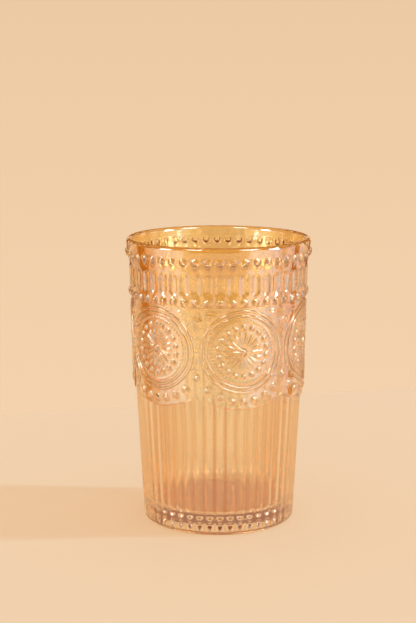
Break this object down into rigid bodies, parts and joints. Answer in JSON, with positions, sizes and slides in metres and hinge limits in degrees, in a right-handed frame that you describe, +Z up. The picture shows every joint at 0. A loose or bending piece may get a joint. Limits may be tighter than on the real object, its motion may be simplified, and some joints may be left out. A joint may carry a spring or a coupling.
{
  "type": "drinking glass",
  "caption": "Tall pressed-glass tumbler with a plain rim, beaded bands, an arcaded collar, rosette medallions and a fluted body on a thick solid base.",
  "frame": {"origin": "on the glass's axis, in the plane that it stands on", "axes": "+Z up along the glass's axis, -Y towards the middle of one medallion"},
  "size_m": [0.0828, 0.0828, 0.127],
  "materials": {
    "glass": "clear amber pressed soda-lime glass, fire polished"
  },
  "bodies": {
    "root": {"vessel": "glass", "rim_beads": "glass", "collar_beads": "glass", "medallion_ridges": "glass", "medallion_beads": "glass", "medallion_petals": "glass", "scallop_beads": "glass", "spandrel_flowers": "glass"}
  },
  "joints": []
}
